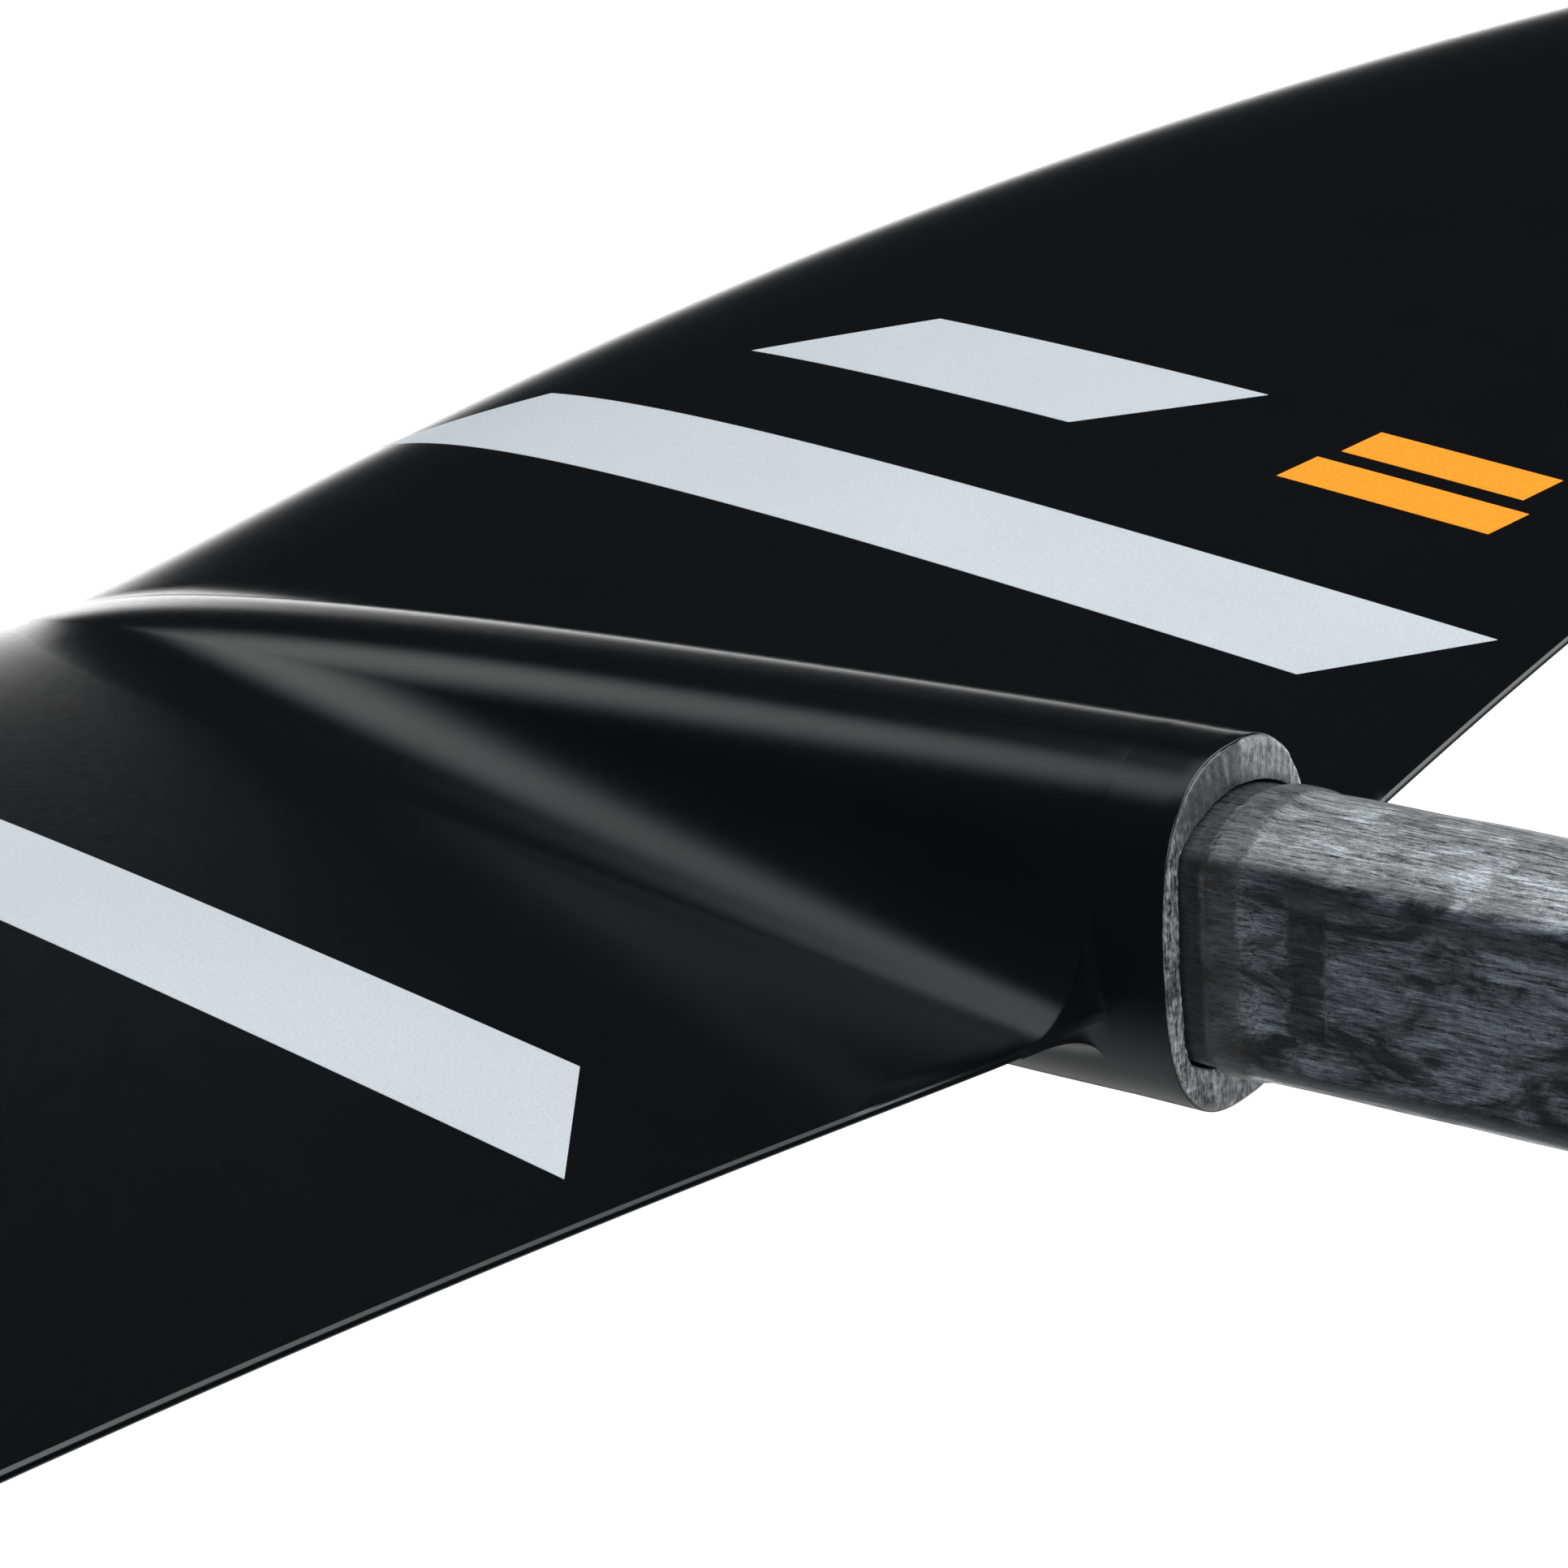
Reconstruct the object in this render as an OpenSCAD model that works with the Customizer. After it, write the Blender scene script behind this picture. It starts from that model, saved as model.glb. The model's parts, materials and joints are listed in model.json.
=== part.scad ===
// Front wing of a hydrofoil: a moulded carbon wing with a nacelle on its
// centre line and a raw carbon tongue that slides into the fuselage.
// Axes: X to port, Y aft along the tongue, Z up with the flatter side on top.
// Origin: centre of the nacelle's aft face.

/* [Wing] */
// Chord on the centre line
root_chord = 190; // [170:1:210]
// Distance between the two tips
span = 838; // [760:2:900]
// Greatest thickness, in percent of the chord
thickness_pct = 11.5; // [10:0.5:14]
// Bow of the section towards the lower side, in percent of the chord
camber_pct = 1.5; // [0.5:0.1:2.5]
// Angle by which the leading edge sits higher than the trailing edge
incidence = 3.8; // [2:0.1:5]
// Rise of the wing per millimetre of span
tip_rise = 0.138; // [0.08:0.002:0.18]
// Thickness of the trailing edge
edge_t = 1; // [0.8:0.1:2]
// Thickness of the painted carbon shells
skin_t = 1.2; // [0.8:0.1:1.4]

/* [Nacelle] */
// Width of the aft face
nacelle_w = 29.6; // [28:0.2:34]
// Height of the aft face
nacelle_h = 41; // [39:0.2:46]
// Distance from the trailing edge to the aft face
nacelle_run = 9.2; // [6:0.1:16]
// Depth of the trailing edge below the middle of the aft face
edge_drop = 8.8; // [6:0.1:11]
// Height at which the hollow fillet leaves the nacelle's side
fillet_rise = 16; // [14:0.5:17]
// Distance the hollow fillet runs out over the wing
fillet_run = 10; // [9:0.5:12]

/* [Tongue] */
// Length of the tongue behind the aft face
tongue_l = 104; // [98:1:130]
// Width across the flat sides
tongue_w = 23.4; // [20:0.2:24]
// Height over the domed top and bottom
tongue_h = 30.6; // [27:0.2:33]
// Length of tongue bonded into the nacelle
tongue_root = 16; // [12:1:18]
// Length of the slim spar that runs on forward from the tongue
root_spar_l = 70; // [40:1:76]
// Distance from the aft face to the first screw
first_screw = 58; // [50:1:62]
// Distance between the two screws
screw_pitch = 30; // [24:1:34]
// Radius of the tapped hole, for an M8 thread
thread_r = 3.4; // [2.5:0.1:3.4]

/* [Graphics] */
// Width of the silver stripes
stripe_w = 21; // [12:1:26]
// Distance from the centre line to the long stripe
stripe_x = 67; // [50:1:80]
// Gap between the long and the short stripe
stripe_gap = 22.5; // [12:0.5:30]

/* [Hidden] */

half_span = span / 2;
port = 1;
starboard = -1;
top = 1;
bottom = -1;
gap = 0.1;            // clearance between bonded pieces, filled with adhesive
film_t = 0.2;         // thickness of the graphics film
knee = 20;            // width over which the centre of the wing is rounded
toe_in = 0.0908;      // forward slope of the trailing edge near the centre
tip_sweep = 0.067;    // curl of the trailing edge towards the tips
sweep_end = 300;      // distance from the centre where that curl dies out
tip_curl = 0.0106;    // extra rise of the wing on its way out
curl_end = 265;       // distance from the centre where that rise dies out
tip_stop = 0.998;     // part of the half span reached by the shells
nacelle_power = 2.6;  // roundness of the nacelle section; 2 is an ellipse
nacelle_start = 0.05; // chord fraction where the nacelle leaves the wing
egg = 0.04;           // how much narrower the nacelle's top is than its middle
blunt_nose = 0.86;    // width of the nacelle at its nose, as a part of its aft width
fillet_share = 0.62;  // part of the nacelle's height the fillet takes where that is low
run_share = 1.4;      // run of the fillet over that height
keel_share = 0.6;     // part of the keel's height taken by the fillet under the wing
keel_rise = 4;        // greatest height of that fillet

// ---------- wing surface ----------

function from_centre(x) = sqrt(x * x + knee * knee) - knee;

function chord(x) = root_chord * sqrt(1 - pow(x / half_span, 2));

function edge_y(x) =
    -nacelle_run - toe_in * from_centre(x)
    + tip_sweep * x * x / 100 / sqrt(1 + pow(x / sweep_end, 4));

function edge_z(x) =
    -edge_drop + tip_rise * from_centre(x)
    + tip_curl * x * x / 100 / (1 + pow(x / curl_end, 4));

// Bow of the mean line at chord fraction s
function camber(s) =
    let (peak = 0.425, bow = camber_pct / 100)
    s < peak
        ? bow / pow(peak, 2) * (2 * peak * s - s * s)
        : bow / pow(1 - peak, 2) * (1 - 2 * peak + 2 * peak * s - s * s);

// Four-digit thickness form: half the section's thickness at fraction s
function half_thickness(s) =
    thickness_pct / 20
    * (0.2969 * sqrt(s) - 0.126 * s - 0.3516 * s ^ 2 + 0.2843 * s ^ 3 - 0.1036 * s ^ 4);

function mean_z(x, s) =
    edge_z(x) + chord(x) * ((1 - s) * tan(incidence) - camber(s));

function depth(x, s) = chord(x) * half_thickness(s) + edge_t / 2 * s;

function wing_y(x, s) = edge_y(x) - chord(x) * (1 - s);

// A point of the wing; side is top or bottom, inset is measured inwards
function wing(x, s, side, inset = 0) =
    [x, wing_y(x, s), mean_z(x, s) + side * max(depth(x, s) - inset, gap / 2)];

// ---------- nacelle surface ----------

function nacelle_growth(s) = max(s - nacelle_start, 0) / (1 - nacelle_start);

function nacelle_top(s) =
    let (rise_at_edge = nacelle_h / 2 + edge_drop)
    mean_z(0, s) + depth(0, s) + rise_at_edge * nacelle_growth(s);

function nacelle_bottom(s) =
    let (drop_at_edge = nacelle_h / 2 - edge_drop)
    mean_z(0, s) - depth(0, s) - drop_at_edge * pow(nacelle_growth(s), 1.6);

function nacelle_half_w(s) =
    nacelle_w / 2 * min(blunt_nose + (1.03 - blunt_nose) * s, 1);

// Squared oval whose top narrows; a is the angle from the port side
function oval(half_w, half_h, a) =
    let (
        v = sign(sin(a)) * pow(abs(sin(a)), 2 / nacelle_power),
        u = sign(cos(a)) * pow(abs(cos(a)), 2 / nacelle_power)
    )
    [u * half_w * (1 - egg * max(v, 0)), v * half_h];

// Point of the nacelle's section at angle a from the port side, in X and Z
function nacelle_xz(s, a, inset = 0) =
    let (
        zt = nacelle_top(s) - inset,
        zb = nacelle_bottom(s) + inset
    )
    oval(nacelle_half_w(s) - inset, (zt - zb) / 2, a) + [0, (zt + zb) / 2];

// Angle at which the nacelle's section passes through height z
function nacelle_angle(s, z, inset = 0) =
    let (
        zt = nacelle_top(s) - inset,
        zb = nacelle_bottom(s) + inset,
        v = min(max((z - (zt + zb) / 2) / ((zt - zb) / 2), -1), 1)
    )
    asin(sign(v) * pow(abs(v), nacelle_power / 2));

// ---------- shells: nacelle, fillet and wing in one surface ----------

arc_steps = 5;     // columns over the crown and flank of the nacelle
fillet_steps = 3;  // columns across the hollow fillet
wing_steps = 15;   // columns from the fillet to the tip
chord_steps = 12;  // rows from the leading edge to the trailing edge
half_columns = arc_steps + fillet_steps + wing_steps;

function bend(p, q, r, t) = p * (1 - t) ^ 2 + q * 2 * t * (1 - t) + r * t ^ 2;

// Point of a shell at chord fraction s in column c (0 on the centre line)
function shell(s, c, side, inset) =
    let (
        skin_z = wing(0, s, side, inset)[2],
        crown = side == top ? nacelle_top(s) - inset : nacelle_bottom(s) + inset,
        proud = abs(crown - skin_z),
        lift = side == top
            ? min(proud * fillet_share, fillet_rise)
            : min(proud * keel_share, keel_rise),
        y = wing_y(0, s),
        start = nacelle_angle(s, skin_z + side * lift, inset),
        arc_end = nacelle_xz(s, start, inset),
        along = nacelle_xz(s, start - side, inset) - arc_end,
        run = lift * along[0] / max(abs(along[1]), 0.001),
        foot = arc_end[0] + min(run, 1 + 2 * lift),
        outer = wing(foot + min(2 + proud * run_share, fillet_run), s, side, inset)
    )
    c <= arc_steps
        ? let (p = nacelle_xz(s, side * 90 + (start - side * 90) * c / arc_steps, inset))
          [p[0], y, p[1]]
    : c <= arc_steps + fillet_steps
        ? bend([arc_end[0], y, arc_end[1]], wing(foot, s, side, inset), outer,
               (c - arc_steps) / fillet_steps)
        : let (
              t = (c - arc_steps - fillet_steps) / wing_steps,
              x = outer[0] + (half_span * tip_stop - outer[0]) * sin(90 * t)
          )
          wing(x, s, side, inset);

function mirrored(p, way) = [p[0] * way, p[1], p[2]];

// Chordwise loop of one shell column: outside aft, inside forward again
function shell_ring(c, way, side) =
    let (
        first = 0.02,
        last = 0.955,
        outside = [for (i = [0 : chord_steps]) shell(1 - cos(90 * i / chord_steps), c, side, 0)],
        rim = shell(1, c, side, c <= arc_steps ? skin_t / 2 : (edge_t - gap) / 2),
        inside = [
            for (i = [chord_steps + 1 : -1 : 0])
                shell(first + (last - first) * (1 - cos(90 * i / (chord_steps + 1))),
                      c, side, skin_t)
        ]
    )
    [for (p = concat(outside, [rim], inside)) mirrored(p, way)];

// Solid between loops of points; each loop goes out along one face and back
// along the opposite one, so that its first half pairs with its second half.
// Quads of the second half are cut along the other diagonal, which keeps the
// two faces of a thin film parallel.
module loft(loops) {
    n = len(loops[0]);
    m = len(loops) - 1;
    pairs = n / 2 - 1;
    points = [for (l = loops) for (p = l) p];
    sides = [
        for (j = [0 : m - 1]) for (i = [0 : n - 1])
            let (a = j * n + i, b = j * n + (i + 1) % n)
            each i < n / 2
                ? [[a, b, b + n], [a, b + n, a + n]]
                : [[a, b, a + n], [b, b + n, a + n]]
    ];
    first_cap = [
        for (i = [0 : pairs - 1])
            each [[i, n - 1 - i, i + 1], [i + 1, n - 1 - i, n - 2 - i]]
    ];
    last_cap = [
        for (f = first_cap)
            [f[0] + m * n, f[2] + m * n, f[1] + m * n]
    ];
    polyhedron(points, concat(sides, first_cap, last_cap));
}

module skin(side) {
    starboard_half = [for (c = [half_columns : -1 : 1]) shell_ring(c, starboard, side)];
    port_half = [for (c = [0 : half_columns]) shell_ring(c, port, side)];
    loops = concat(starboard_half, port_half);
    loft(side == top ? loops : [for (i = [len(loops) - 1 : -1 : 0]) loops[i]]);
}

module upper_skin() {
    color("#10151a") skin(top);
}

module lower_skin() {
    color("#10151a") skin(bottom);
}

// ---------- structure inside the wing ----------

root_x = nacelle_w / 2 + 2;      // where the pieces beside the nacelle start
core_tip = half_span * 0.94;     // where the foam gives way to the tip block
bead_s = 0.05;                   // chord fractions that divide the inside
spar_s = 0.33;
web_s = 0.02;
cap_s = 0.13;
tail_s = 0.87;
strip_s = 0.95;
cap_t = 1.5;                     // thickness of the spar caps
inside = skin_t + gap;

function part_way(a, b, i, n) = a + (b - a) * i / n;

// Loop round a block between chord fractions s0 and s1 at station x
function block_loop(x, s0, s1, inset, steps) = concat(
    [for (i = [0 : steps]) wing(x, part_way(s0, s1, i, steps), top, inset)],
    [for (i = [steps : -1 : 0]) wing(x, part_way(s0, s1, i, steps), bottom, inset)]
);

// Block that fills the inside of one half of the wing
module block(way, s0, s1, x0, x1, inset = inside, steps = 6, stations = 9) {
    stops = [for (j = [0 : stations]) way * part_way(x0, x1, sin(90 * j / stations), 1)];
    run = way == port ? stops : [for (j = [stations : -1 : 0]) stops[j]];
    loft([for (x = run) block_loop(x, s0, s1, inset, steps)]);
}

module nose_core(way) {
    color("#d9c9a0")
        block(way, bead_s + 0.005, spar_s - web_s - 0.002, root_x, core_tip,
              inside + cap_t * 0.2, 6);
}

module tail_core(way) {
    color("#d9c9a0")
        block(way, spar_s + web_s + 0.002, tail_s - 0.002, root_x, core_tip,
              inside + cap_t + gap, 6);
}

module spar_web(way) {
    color("#2a2d30")
        block(way, spar_s - web_s, spar_s + web_s, root_x, core_tip,
              inside + cap_t + gap, 1);
}

// Unidirectional carbon plate under a skin, from tip to tip over the nacelle
module spar_cap(side) {
    s0 = spar_s - web_s;
    s1 = spar_s + cap_s;
    steps = 3;
    stations = 24;
    stops = [
        for (j = [-stations : stations])
            core_tip * sin(90 * j / stations)
    ];
    function cap_loop(x) = concat(
        [for (i = [0 : steps]) wing(x, part_way(s0, s1, i, steps), side, inside)],
        [for (i = [steps : -1 : 0])
            wing(x, part_way(s0, s1, i, steps), side, inside + cap_t)]
    );
    order = side == top ? stops : [for (j = [2 * stations : -1 : 0]) stops[j]];
    color("#1b1d1f") loft([for (x = order) cap_loop(x)]);
}

module leading_edge_bead(way) {
    color("#3a3020") block(way, 0.022, bead_s, root_x, core_tip, inside, 2);
}

module trailing_edge_strip(way) {
    color("#3a3020") block(way, tail_s, strip_s, root_x, core_tip, inside, 2);
}

module tip_block(way) {
    color("#1b1d1f")
        block(way, 0.1, 0.85, core_tip + gap, half_span * 0.975, inside, 6, 4);
}

// ---------- nacelle and tongue ----------

profile_steps = 72;

// Outline of the nacelle's aft face, drawn in X and Z
module nacelle_outline(inset = 0) {
    polygon([
        for (i = [0 : profile_steps - 1])
            oval(nacelle_w / 2 - inset, nacelle_h / 2 - inset, 360 * i / profile_steps)
    ]);
}

dome = 4.2;           // height of the tongue's domed top and bottom
tongue_taper = 0.95;  // size of the tongue's end compared with its root

// Upright outline with flat sides and a domed top and bottom
module tongue_outline(inset = 0) {
    dome_r = (pow(tongue_w / 2, 2) + dome * dome) / (2 * dome);
    intersection() {
        square([tongue_w - 2 * inset, 2 * tongue_h], center = true);
        intersection_for (side = [top, bottom])
            translate([0, side * (tongue_h / 2 - dome_r)])
                circle(r = dome_r - inset, $fn = 96);
    }
}

// Lays an outline drawn in X and Z along Y, from y0 over length l
module along_y(y0, l, taper = 1) {
    translate([0, y0, 0])
        rotate([-90, 0, 0])
            linear_extrude(height = l, scale = taper)
                mirror([0, 1])
                    children();
}

wall = 4;             // laminate thickness of the tongue
insert_r = 6.5;       // outer radius of a thread insert
insert_l = 22;        // length of a thread insert
collar_t = 3;         // thickness of the raw ring at the aft face
bead_w = 1;           // width of the resin band between ring and tongue
cap_l = 3;            // thickness of the seal at the tongue's end
screw_places = [first_screw, first_screw + screw_pitch];

module at_screws() {
    for (y = screw_places)
        translate([0, y, tongue_h / 2 - insert_l - 1.2])
            children();
}

module tongue() {
    color("#34373a")
        difference() {
            along_y(-tongue_root, tongue_root + tongue_l - cap_l, tongue_taper)
                difference() {
                    tongue_outline();
                    tongue_outline(wall);
                }
            at_screws() cylinder(r = insert_r + gap, h = insert_l + 10, $fn = 48);
        }
}

module tongue_core() {
    color("#6d7566")
        difference() {
            along_y(-tongue_root, tongue_root + tongue_l - cap_l, tongue_taper)
                tongue_outline(wall + gap);
            at_screws()
                translate([0, 0, -gap])
                    cylinder(r = insert_r + gap, h = insert_l + 10, $fn = 48);
        }
}

// Resin seal over the cut end of the tongue
module tongue_end_cap() {
    color("#26282a")
        along_y(tongue_l - cap_l + gap, cap_l - gap)
            tongue_outline((1 - tongue_taper) * tongue_h / 2);
}

module thread_inserts() {
    color("#c8cbd0")
        at_screws()
            difference() {
                cylinder(r = insert_r, h = insert_l, $fn = 48);
                translate([0, 0, 3])
                    cylinder(r = thread_r, h = insert_l, $fn = 48);
            }
}

module nacelle_sleeve() {
    color("#10151a")
        along_y(-nacelle_run + gap, nacelle_run - collar_t - 2 * gap)
            difference() {
                nacelle_outline();
                nacelle_outline(1.6);
            }
}

module end_collar() {
    color("#8d9194")
        along_y(-collar_t, collar_t)
            difference() {
                nacelle_outline();
                tongue_outline(-bead_w - gap);
            }
}

// Band of resin between the collar and the tongue, standing out of the collar
module shoulder_bead() {
    bead_l = 4;
    color("#4a4d4f")
        along_y(-collar_t, collar_t + bead_l)
            difference() {
                tongue_outline(-bead_w);
                tongue_outline(-gap);
            }
}

root_spar_w = 10;     // width of the root spar
root_spar_h = 20;     // height of the root spar

// Bar inside the nacelle that carries the tongue's load into the wing
module root_spar() {
    color("#22262a")
        translate([-root_spar_w / 2, -tongue_root - root_spar_l, -root_spar_h / 2])
            cube([root_spar_w, root_spar_l - gap, root_spar_h]);
}

// Filler between the shells of the nacelle, with a slot for the root spar
module nacelle_core() {
    stations = 8;
    front = spar_s + cap_s + 0.01;
    ring = 20;
    thick = inside + cap_t + gap;
    back = 1 - (tongue_root + gap - nacelle_run) / root_chord;
    slot_l = root_spar_l + gap;
    color("#6d7566")
        difference() {
            loft([
                for (j = [stations : -1 : 0])
                    let (s = part_way(front, back, j, stations))
                    [
                        for (i = [0 : ring - 1])
                            let (p = nacelle_xz(s, 360 * (i + 0.5) / ring - 90, thick))
                            [p[0], wing_y(0, s), p[1]]
                    ]
            ]);
            translate([0, slot_l / 2 - tongue_root - slot_l + gap, 0])
                cube([root_spar_w + 2 * gap, slot_l + 2 * gap, root_spar_h + 2 * gap], center = true);
        }
}

// ---------- graphics ----------

// Film on the upper skin between stations x0 and x1; s0 and s1 give the
// chord fractions of its ends at x0, and slant moves both ends aft at x1
module film(way, x0, x1, s0, s1, slant0, slant1, lift = gap, steps = 10) {
    columns = 4;
    stops = [for (j = [0 : columns]) part_way(x0, x1, j, columns)];
    function film_loop(x) =
        let (
            t = (x - x0) / (x1 - x0),
            a = s0 + slant0 * t,
            b = s1 + slant1 * t
        )
        concat(
            [for (i = [0 : steps]) wing(way * x, part_way(a, b, i, steps), top, -lift - film_t)],
            [for (i = [steps : -1 : 0]) wing(way * x, part_way(a, b, i, steps), top, -lift)]
        );
    run = way == port ? stops : [for (j = [columns : -1 : 0]) stops[j]];
    loft([for (x = run) film_loop(x)]);
}

module long_stripe(way) {
    color("#cdd3d8")
        film(way, stripe_x, stripe_x + stripe_w, 0.03, 0.875, 0.072, 0.087, steps = 16);
}

module short_stripe(way) {
    x0 = stripe_x + stripe_w + stripe_gap;
    color("#cdd3d8")
        film(way, x0, x0 + stripe_w, 0.199, 0.516, 0.093, 0.098);
}

// Two plain orange bars behind the short stripe
module size_mark() {
    bar_x = 111;
    bar_w = 7.5;
    bar_pitch = 10.5;
    color("#ff8a1e")
        for (i = [0, 1])
            let (x = bar_x + i * bar_pitch)
                film(starboard, x, x + bar_w, 0.7 + 0.018 * i, 0.88 - 0.008 * i, 0.012, 0.012,
                     steps = 4);
}

upper_skin();
lower_skin();
nose_core(port);  // nose_core_port
nose_core(starboard);  // nose_core_starboard
tail_core(port);  // tail_core_port
tail_core(starboard);  // tail_core_starboard
spar_web(port);  // spar_web_port
spar_web(starboard);  // spar_web_starboard
spar_cap(top);  // spar_cap_upper
spar_cap(bottom);  // spar_cap_lower
leading_edge_bead(port);  // leading_edge_bead_port
leading_edge_bead(starboard);  // leading_edge_bead_starboard
trailing_edge_strip(port);  // trailing_edge_strip_port
trailing_edge_strip(starboard);  // trailing_edge_strip_starboard
tip_block(port);  // tip_block_port
tip_block(starboard);  // tip_block_starboard
nacelle_core();
root_spar();
nacelle_sleeve();
end_collar();
tongue();
tongue_core();
tongue_end_cap();
shoulder_bead();
thread_inserts();
long_stripe(port);  // long_stripe_port
long_stripe(starboard);  // long_stripe_starboard
short_stripe(port);  // short_stripe_port
short_stripe(starboard);  // short_stripe_starboard
size_mark();
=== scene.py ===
"""Hydrofoil front wing: black painted blade and nacelle, raw carbon tongue, soft studio."""
import json
import math

import bmesh
import bpy
import numpy as np
from mathutils import Matrix, Vector

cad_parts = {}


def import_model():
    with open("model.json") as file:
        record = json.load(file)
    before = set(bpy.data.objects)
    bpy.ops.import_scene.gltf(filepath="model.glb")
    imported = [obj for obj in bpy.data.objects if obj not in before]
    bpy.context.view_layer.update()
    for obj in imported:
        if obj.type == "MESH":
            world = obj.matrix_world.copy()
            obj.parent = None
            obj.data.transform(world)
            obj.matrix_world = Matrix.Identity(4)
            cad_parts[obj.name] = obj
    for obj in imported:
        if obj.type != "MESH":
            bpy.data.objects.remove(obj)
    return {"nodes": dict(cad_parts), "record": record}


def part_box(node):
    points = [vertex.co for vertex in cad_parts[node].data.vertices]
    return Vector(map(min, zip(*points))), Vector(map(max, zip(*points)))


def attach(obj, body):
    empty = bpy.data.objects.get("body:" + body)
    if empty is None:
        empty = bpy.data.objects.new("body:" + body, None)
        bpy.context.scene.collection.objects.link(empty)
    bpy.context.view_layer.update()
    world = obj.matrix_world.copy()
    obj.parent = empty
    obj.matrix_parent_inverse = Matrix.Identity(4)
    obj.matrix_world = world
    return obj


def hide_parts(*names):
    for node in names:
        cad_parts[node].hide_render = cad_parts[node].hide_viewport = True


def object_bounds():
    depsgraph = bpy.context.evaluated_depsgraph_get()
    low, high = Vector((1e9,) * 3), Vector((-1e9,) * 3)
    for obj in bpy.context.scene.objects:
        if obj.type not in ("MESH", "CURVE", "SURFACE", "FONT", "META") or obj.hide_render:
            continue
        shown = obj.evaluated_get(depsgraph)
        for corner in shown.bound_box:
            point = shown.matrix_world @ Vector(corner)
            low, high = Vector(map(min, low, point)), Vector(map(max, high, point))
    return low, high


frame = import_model()
cad_low, cad_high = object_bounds()
scene = bpy.context.scene
MM = 0.001
BODY = "root"

# ---------------------------------------------------------------- sizes from the frame (mm)


def node_box(name):
    """Low and high corner of a CAD node's box in mm."""
    low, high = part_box(name)
    return np.array(low) / MM, np.array(high) / MM


SKIN_HIGH = node_box("upper_skin")[1]
FACE_LOW, FACE_HIGH = node_box("end_collar")
TONGUE_LOW, TONGUE_HIGH = node_box("tongue")
TIP_STOP = 0.998
HALF_SPAN = SKIN_HIGH[0] / TIP_STOP
NACELLE_W = FACE_HIGH[0] - FACE_LOW[0]
NACELLE_H = FACE_HIGH[2] - FACE_LOW[2]
COLLAR_T = FACE_HIGH[1] - FACE_LOW[1]
TONGUE_W = TONGUE_HIGH[0] - TONGUE_LOW[0]
TONGUE_H = TONGUE_HIGH[2] - TONGUE_LOW[2]
TONGUE_L = node_box("tongue_end_cap")[1][1]
INSERT_LOW, INSERT_HIGH = node_box("thread_inserts")
INSERT_R = (INSERT_HIGH[0] - INSERT_LOW[0]) / 2
# chord in the middle, and where the trailing edge meets the nacelle: this far ahead of its aft face
# and this far below its axis
ROOT_CHORD = 190.0
NACELLE_RUN = 9.2
EDGE_DROP = 8.8

# ---------------------------------------------------------------- wing surface (mm)

TOP, BOTTOM = 1, -1
# section: thickness and camber in chords, the trailing edge and the skin in mm
THICKNESS = 0.115
CAMBER = 0.015
CAMBER_PEAK = 0.425
INCIDENCE = math.radians(3.8)
EDGE_T = 1.0
SKIN_T = 1.2
THINNEST = 0.05
# trailing edge: straight rise and toe-in outboard of a soft knee, then curls towards the tip that
# start as so many mm at 10 mm from the centre and grow with the square of the distance
KNEE = 20.0
TIP_RISE = 0.138
TOE_IN = 0.0908
TIP_SWEEP, SWEEP_END = 0.067, 300.0
TIP_CURL, CURL_END = 0.0106, 265.0
TINY = 1e-6


def from_centre(x):
    return np.sqrt(x * x + KNEE * KNEE) - KNEE


def chord(x):
    return ROOT_CHORD * np.sqrt(np.maximum(1 - (x / HALF_SPAN) ** 2, TINY))


def edge_y(x):
    curl = TIP_SWEEP * x * x / 100 / np.sqrt(1 + (x / SWEEP_END) ** 4)
    return -NACELLE_RUN - TOE_IN * from_centre(x) + curl


def edge_z(x):
    curl = TIP_CURL * x * x / 100 / (1 + (x / CURL_END) ** 4)
    return -EDGE_DROP + TIP_RISE * from_centre(x) + curl


def camber(s):
    fore = CAMBER / CAMBER_PEAK**2 * (2 * CAMBER_PEAK * s - s * s)
    rest = 1 - CAMBER_PEAK
    aft = CAMBER / rest**2 * (1 - 2 * CAMBER_PEAK + 2 * CAMBER_PEAK * s - s * s)
    return np.where(s < CAMBER_PEAK, fore, aft)


def half_thickness(s):
    """Four-digit section with a closed trailing edge, in chords."""
    shape = 0.2969 * np.sqrt(s) - 0.126 * s - 0.3516 * s**2 + 0.2843 * s**3 - 0.1036 * s**4
    return 5 * THICKNESS * shape


def mean_z(x, s):
    """Height of the camber line; the wing lies upside down, so the camber bulges down."""
    return edge_z(x) + chord(x) * ((1 - s) * math.tan(INCIDENCE) - camber(s))


def depth(x, s):
    """Half the thickness in mm, with the trailing edge's own thickness worked in."""
    return chord(x) * half_thickness(s) + EDGE_T / 2 * s


def wing_y(x, s):
    return edge_y(x) - chord(x) * (1 - s)


def wing_z(x, s, side, inset=0.0):
    return mean_z(x, s) + side * np.maximum(depth(x, s) - inset, THINNEST)


def chord_fraction(x, y):
    """0 at the leading edge and 1 at the trailing edge."""
    return np.clip(1 - (edge_y(x) - y) / chord(x), 0, 1)


# ---------------------------------------------------------------- nacelle surface (mm)

NACELLE_START, START_SOFT = 0.05, 0.03
NACELLE_POWER = 2.6
KEEL_CURVE = 1.6
# the top half of the section is this much narrower at its crown
EGG = 0.04
# share of the full width at the nose and, if it went on growing, at the aft end
BLUNT_NOSE, FULL_TAIL = 0.86, 1.03
WIDTH_SOFT, WIDTH_BACK = 0.04, 0.008
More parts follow.
